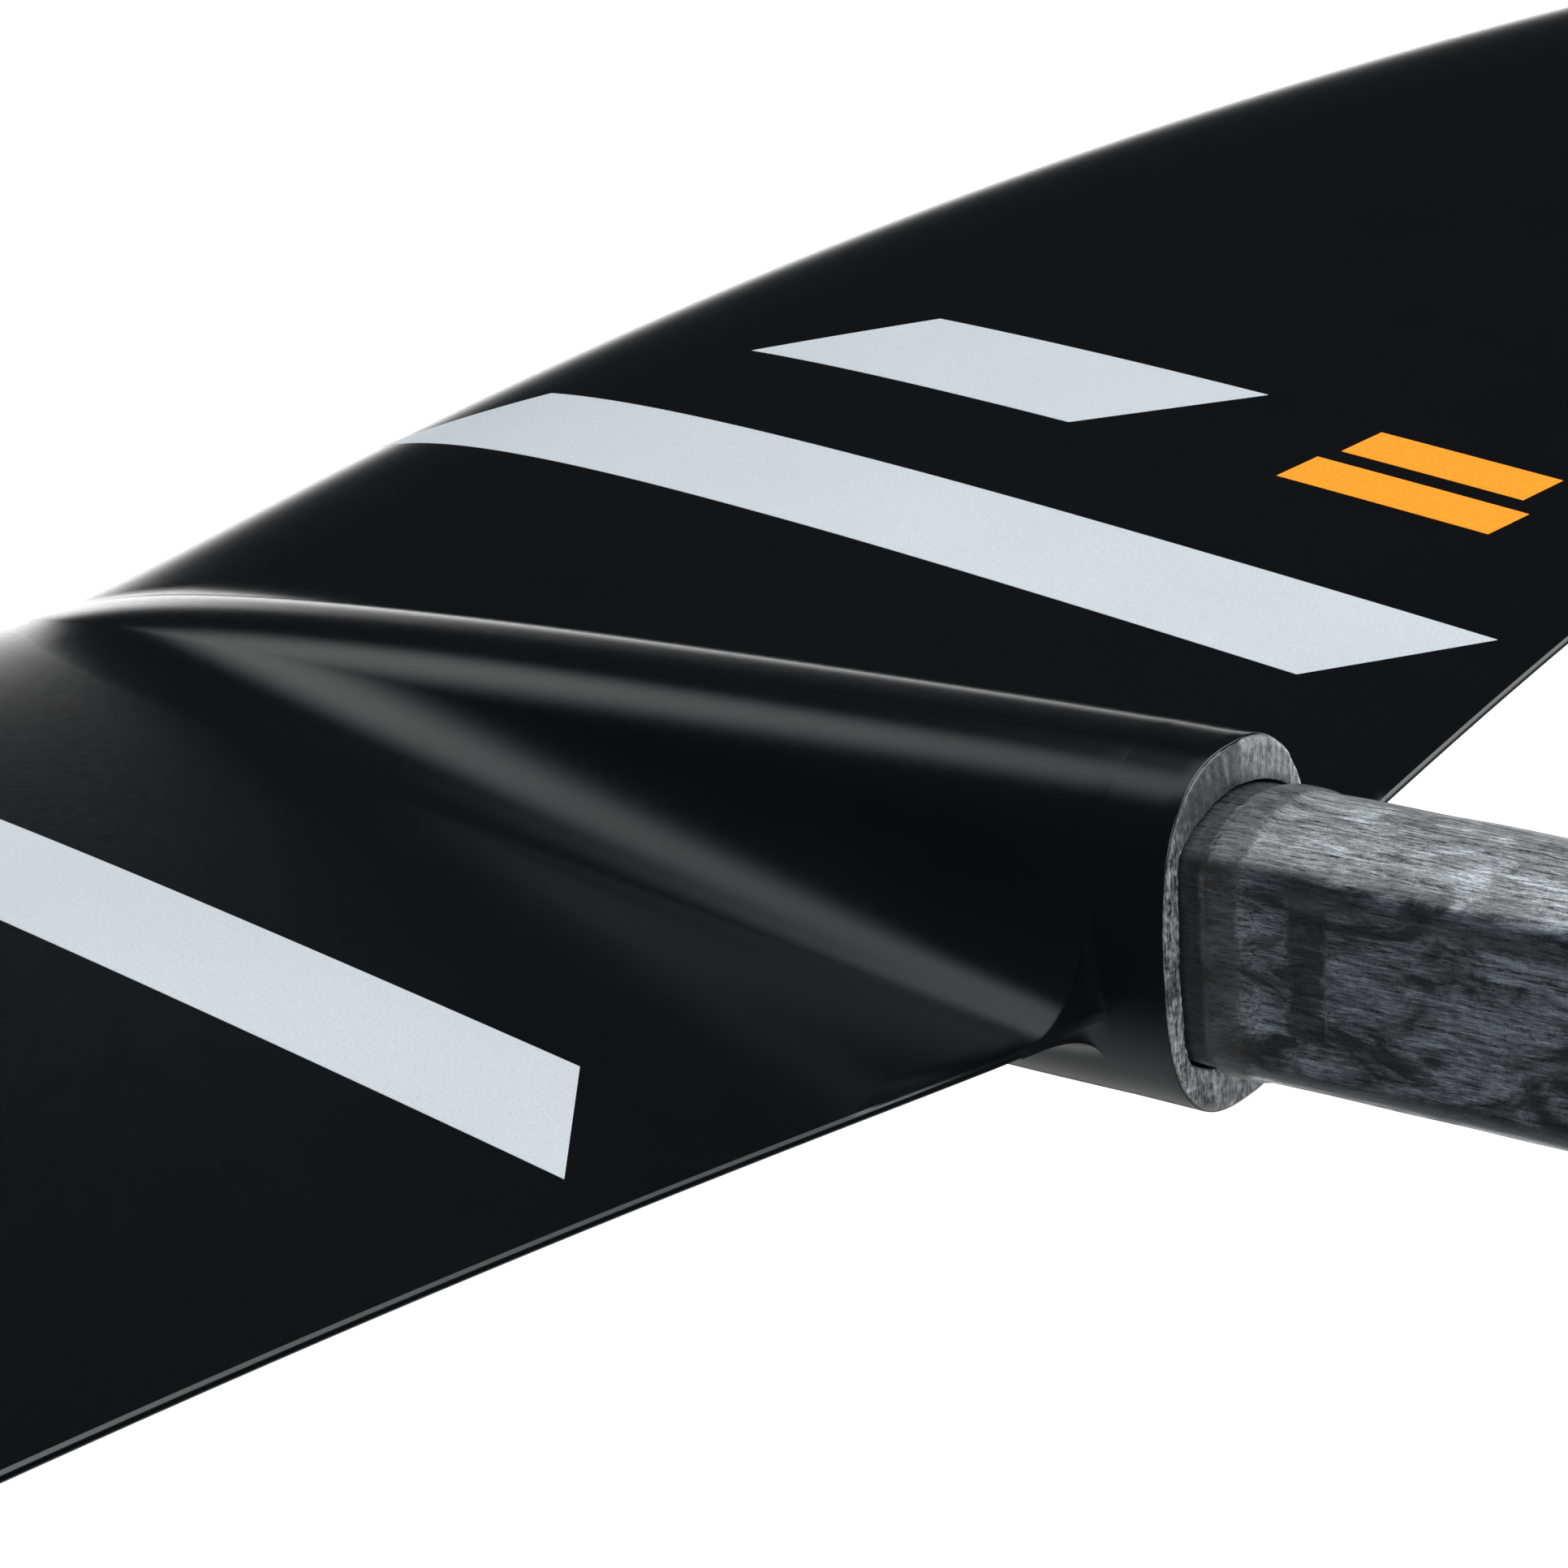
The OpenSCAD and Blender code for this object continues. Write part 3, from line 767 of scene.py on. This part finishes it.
def socket_cutter(y):
    """Upright round plug where a thread insert stands in the tongue, open at the top."""
    around = np.linspace(0, 2 * math.pi, SOCKET_STEPS, endpoint=False)
    radius = INSERT_R + SOCKET_GAP
    x, y_around = radius * np.cos(around), y + radius * np.sin(around)
    rings = [np.stack([x, y_around, np.full(SOCKET_STEPS, z)], -1)
             for z in (INSERT_LOW[2] - SOCKET_GAP, TONGUE_HIGH[2] + CLEAR)]
    bottom_face = tuple(range(SOCKET_STEPS - 1, -1, -1))
    top_face = tuple(range(SOCKET_STEPS, 2 * SOCKET_STEPS))
    mesh = bpy.data.meshes.new("socket_cutter")
    faces = ring_faces(2, SOCKET_STEPS) + [bottom_face, top_face]
    mesh.from_pydata((np.concatenate(rings) * MM).tolist(), [], faces)
    cutter = bpy.data.objects.new("socket_cutter", mesh)
    scene.collection.objects.link(cutter)
    return cutter


def cut_sockets(obj):
    """Bore the two sockets that the thread inserts stand in."""
    for y in (INSERT_LOW[1] + INSERT_R, INSERT_HIGH[1] - INSERT_R):
        cutter = socket_cutter(y)
        cut = obj.modifiers.new("socket", "BOOLEAN")
        cut.operation = "DIFFERENCE"
        cut.solver = "EXACT"
        cut.object = cutter
        bpy.context.view_layer.update()
        evaluated = obj.evaluated_get(bpy.context.evaluated_depsgraph_get())
        bored = bpy.data.meshes.new_from_object(evaluated)
        obj.modifiers.clear()
        obj.data = bored
        bpy.data.meshes.remove(cutter.data)
    obj.data.set_sharp_from_angle(angle=math.radians(SHARP_DEG))


tongue = new_piece("raw_tongue", *tongue_body(), CARBON, "raw_carbon")
cut_sockets(tongue)
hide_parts("tongue", "tongue_end_cap", "shoulder_bead")

# ---------------------------------------------------------------- collar (mm)

EDGE_R = 1.1
FACE_Y = 0.25
COLLAR_WALL = 1.6
COLLAR_FIT = 0.1
# raised panel on the face, between two angles around the axis; the first leans with height
PANEL_H, PANEL_FROM, PANEL_TO, PANEL_LEAN, PANEL_TOP = 0.12, 1.63, 2.3, 0.02, 20
# drop of resin on the face
DROP_H, DROP_X, DROP_Z, DROP_SPREAD = 0.8, 7.5, -17.3, 2.2


def collar_body():
    """Raw laminate ring between paint and tongue: rounded outer edge, worn face, stepped inner edge."""
    outer = np.stack(nacelle_xz(np.ones(len(ANGLES)), ANGLES, COLLAR_FIT / 2), -1)
    radius = tongue_radius() + COLLAR_FIT
    inner = np.stack([radius * np.cos(ANGLES), radius * np.sin(ANGLES)], -1)
    width = np.linalg.norm(outer - inner, axis=1)[:, None]

    def from_outer(y, distance):
        return outer + (inner - outer) * np.minimum(distance / width, 0.5), y

    def from_inner(y, distance):
        return inner + (outer - inner) * np.minimum(distance / width, 0.5), y

    def rounded_edge(a):
        y = FACE_Y + EDGE_R * (math.sin(a) - 1) * 0.5
        return from_outer(y, COLLAR_FIT + EDGE_R * (1 - math.cos(a)))

    under_paint = PAINT_END - 0.5
    profile = [from_outer(-COLLAR_T, COLLAR_WALL), from_outer(under_paint, COLLAR_WALL)]
    profile += [from_outer(under_paint, COLLAR_FIT)]
    profile += [rounded_edge(a) for a in np.linspace(0, math.pi / 2, 8)]
    profile += [from_inner(FACE_Y, 1.2), from_inner(FACE_Y, 0.5), from_inner(FACE_Y - 0.15, 0.15)]
    profile += [from_inner(FACE_Y - 0.5, 0.0), from_inner(-COLLAR_T, 0.0)]
    uneven = 0.04 * np.sin(ANGLES * 23) + 0.03 * np.sin(ANGLES * 61 + 1) + 0.04 * np.sin(ANGLES * 7)
    rings = []
    for xz, y in profile:
        x, z = xz[:, 0], xz[:, 1]
        panel = plateau(ANGLES, PANEL_FROM + PANEL_LEAN * (PANEL_TOP - z), PANEL_TO, 0.02)
        drop = np.exp(-((x - DROP_X) ** 2 + (z - DROP_Z) ** 2) / DROP_SPREAD)
        on_face = y > -0.4
        rings.append(upright(xz, y + (PANEL_H * panel + DROP_H * drop + uneven) * on_face))
    return np.concatenate(rings), ring_faces(len(rings), len(ANGLES), close=True)


collar = new_piece("raw_collar", *collar_body(), LAMINATE_EDGE, "raw_laminate")
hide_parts("end_collar")

# ---------------------------------------------------------------- stripes and mark (mm)

FILM_T = 0.06
FILM_SUNK = 0.02
FILM_COLUMNS = 14
STRIPE_STEPS, BAR_STEPS = 120, 24
STRIPE_W = 20.7
# X of a stripe's inner edge, the Y of its two ends there, and how far its outer edge lies further aft
LONG_STRIPE = (67.0, -194.0, -34.2, 16.8)
SHORT_STRIPE = (110.5, -156.3, -98.2, 20.4)
BAR_W, BAR_SLANT = 7.5, 2.0
BARS = ((111.0, -64.0, -31.5), (121.5, -60.0, -32.0))


def film(name, way, width, place, steps, material, slot, node):
    """Thin print on the upper shell, on the side that way gives."""
    x0, fore, aft, slant = place
    loops = []
    for x in np.linspace(x0, x0 + width, FILM_COLUMNS):
        shift = slant * (x - x0) / width
        s0 = chord_fraction(x, fore + shift)
        s1 = chord_fraction(x, aft + shift)
        s = s0 + (s1 - s0) * np.linspace(0, 1, steps)
        across = np.full(steps, way * x)
        out = np.stack([across, wing_y(x, s), wing_z(x, s, TOP, -FILM_T)], -1)
        back = np.stack([across, wing_y(x, s), wing_z(x, s, TOP, FILM_SUNK)], -1)
        loops.append(np.concatenate([out, back[::-1]]))
    print_obj = new_piece(name, *loft(loops), material, slot)
    print_obj.visible_glossy = False
    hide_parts(node)


for side_name, way in (("port", 1), ("starboard", -1)):
    for length, place in (("long", LONG_STRIPE), ("short", SHORT_STRIPE)):
        film(f"silver_{length}_{side_name}", way, STRIPE_W, place, STRIPE_STEPS, SILVER,
             "silver_film", f"{length}_stripe_{side_name}")

for index, bar in enumerate(BARS, start=1):
    film(f"orange_bar_{index}", -1, BAR_W, (*bar, BAR_SLANT), BAR_STEPS, ORANGE,
         "orange_film", "size_mark")

# ---------------------------------------------------------------- studio (m)

FLOOR_HALF, FLOOR_DROP = 14.0, 0.16
FLOOR_GLOW = 0.75


def floor_plane():
    """Pale, faintly glowing floor a little below the wing, kept out of its reflections."""
    z = cad_low[2] - FLOOR_DROP
    corners = [(way_x * FLOOR_HALF, way_y * FLOOR_HALF, z)
               for way_x, way_y in ((-1, -1), (1, -1), (1, 1), (-1, 1))]
    mesh = bpy.data.meshes.new("floor")
    mesh.from_pydata(corners, [], [(0, 1, 2, 3)])
    obj = bpy.data.objects.new("floor", mesh)
    scene.collection.objects.link(obj)
    m = Nodes("floor")
    m.set(color=(0.9, 0.9, 0.9), roughness=0.9)
    m.bsdf.inputs["Emission Color"].default_value = (1, 1, 1, 1)
    m.bsdf.inputs["Emission Strength"].default_value = FLOOR_GLOW
    mesh.materials.append(m.material)
    obj.visible_glossy = False


LIGHT_TARGET = (0, -0.1, 0)


def area_light(name, direction, distance, size, power, glossy):
    """Square light, distance metres from the nacelle in the given direction."""
    data = bpy.data.lights.new(name, "AREA")
    data.size = size
    data.energy = power
    obj = bpy.data.objects.new(name, data)
    scene.collection.objects.link(obj)
    target = Vector(LIGHT_TARGET)
    place = target + Vector(direction).normalized() * distance
    obj.location = place
    obj.rotation_euler = (target - place).to_track_quat("-Z", "Y").to_euler()
    obj.visible_glossy = glossy
    obj.visible_camera = False


# heights of a mirrored direction, 1 straight up: the far horizon is white between black and grey
WHITE_BELOW, BLACK_ABOVE = 0.0, 0.25
GREY_BELOW, WHITE_ABOVE = -0.55, -0.25
TABLE_FROM, TABLE_TO, TABLE_LIGHT = -0.42, -0.84, 0.62
# X and Y of the level direction away from the camera
FAR_SIDE = (-0.758, -0.652)
FAR_FULL = 0.8
# soft lights in reflections: strength, then the X, Y and Z spans they fade in and out over
SIDE_BOX = (2.1, (-0.27, 0.12, 0.20, 0.52), (-1.30, -0.74, -0.73, -0.26), (0.33, 0.56, 1.0, 1.1))
TOP_BOX = (1.8, (-0.62, -0.30, 0.18, 0.48), (-0.61, -0.24, -0.22, -0.17), (0.50, 0.65, 1.0, 1.1))
REAR_BOX = (5.0, (-1.30, -0.90, 0.10, 0.40), (0.0, 0.20, 0.80, 1.0), (0.44, 0.58, 1.0, 1.1))
HORIZON_LIGHT, SKY_LIGHT = 2.6, 0.035
SKY_FROM, SKY_FULL = -0.1, 0.6
FILL_LIGHT = 0.5


def world():
    """White to the camera and a soft fill on matt surfaces.

    Reflections see a nearly black sky with three soft lights, a white horizon on the far side and a
    pale table below.
    """
    w = bpy.data.worlds.new("studio")
    scene.world = w
    w.use_nodes = True
    tree = w.node_tree
    tree.nodes.clear()
    link = tree.links.new

    def ramp(source, low, high):
        node = tree.nodes.new("ShaderNodeMapRange")
        node.interpolation_type = "SMOOTHSTEP"
        node.inputs["From Min"].default_value = low
        node.inputs["From Max"].default_value = high
        link(source, node.inputs["Value"])
        return node.outputs["Result"]

    def math_node(operation, a, b):
        node = tree.nodes.new("ShaderNodeMath")
        node.operation = operation
        for value, target in ((a, node.inputs[0]), (b, node.inputs[1])):
            if isinstance(value, (int, float)):
                target.default_value = value
            else:
                link(value, target)
        return node.outputs["Value"]

    def times(a, b):
        return math_node("MULTIPLY", a, b)

    def plus(a, b):
        return math_node("ADD", a, b)

    def background(strength):
        node = tree.nodes.new("ShaderNodeBackground")
        if isinstance(strength, (int, float)):
            node.inputs["Strength"].default_value = strength
        else:
            link(strength, node.inputs["Strength"])
        return node.outputs[0]

    def mix(factor, a, b):
        node = tree.nodes.new("ShaderNodeMixShader")
        link(factor, node.inputs["Fac"])
        link(a, node.inputs[1])
        link(b, node.inputs[2])
        return node.outputs[0]

    direction = tree.nodes.new("ShaderNodeTexCoord").outputs["Generated"]
    split = tree.nodes.new("ShaderNodeSeparateXYZ")
    link(direction, split.inputs[0])
    x, y, z = split.outputs
    mirror = times(ramp(z, SKY_FROM, SKY_FULL), SKY_LIGHT)
    for strength, *spans in (SIDE_BOX, TOP_BOX, REAR_BOX):
        light = strength
        for axis, (low, full, still_full, high) in zip((x, y, z), spans):
            light = times(light, times(ramp(axis, low, full), ramp(axis, high, still_full)))
        mirror = plus(mirror, light)
    far = plus(times(x, FAR_SIDE[0]), times(y, FAR_SIDE[1]))
    horizon = times(ramp(z, BLACK_ABOVE, WHITE_BELOW), ramp(z, GREY_BELOW, WHITE_ABOVE))
    horizon = times(horizon, ramp(far, 0.0, FAR_FULL))
    mirror = plus(mirror, times(horizon, HORIZON_LIGHT))
    mirror = plus(mirror, times(ramp(z, TABLE_FROM, TABLE_TO), TABLE_LIGHT))
    path = tree.nodes.new("ShaderNodeLightPath")
    seen = mix(path.outputs["Is Glossy Ray"], background(FILL_LIGHT), background(mirror))
    seen = mix(path.outputs["Is Camera Ray"], seen, background(1.0))
    out = tree.nodes.new("ShaderNodeOutputWorld")
    link(seen, out.inputs["Surface"])


floor_plane()
world()
area_light("key", (0.35, 0.6, 1.1), distance=1.6, size=1.3, power=30, glossy=False)
area_light("tongue_fill", (0.9, 0.9, 0.5), distance=1.2, size=0.5, power=3, glossy=True)

# ---------------------------------------------------------------- camera (m)

CAMERA_PLACE = (0.3054, 0.2002, 0.1507)
CAMERA_YAW, CAMERA_PITCH, CAMERA_ROLL = (math.radians(a) for a in (130.667, 19.839, -4.784))
LENS_MM, SENSOR_MM = 84.53, 36
NEAREST = 0.01


def camera():
    data = bpy.data.cameras.new("camera")
    data.sensor_width = SENSOR_MM
    data.lens = LENS_MM
    data.clip_start = NEAREST
    obj = bpy.data.objects.new("camera", data)
    scene.collection.objects.link(obj)
    back = Vector((math.sin(CAMERA_YAW) * math.cos(CAMERA_PITCH),
                   -math.cos(CAMERA_YAW) * math.cos(CAMERA_PITCH), math.sin(CAMERA_PITCH)))
    right = (-back).cross(Vector((0, 0, 1))).normalized()
    up = right.cross(-back)
    rolled_right = math.cos(CAMERA_ROLL) * right + math.sin(CAMERA_ROLL) * up
    rolled_up = -math.sin(CAMERA_ROLL) * right + math.cos(CAMERA_ROLL) * up
    turn = Matrix((rolled_right, rolled_up, back)).transposed().to_4x4()
    obj.matrix_world = Matrix.Translation(CAMERA_PLACE) @ turn
    scene.camera = obj


camera()
scene.view_settings.view_transform = "Standard"
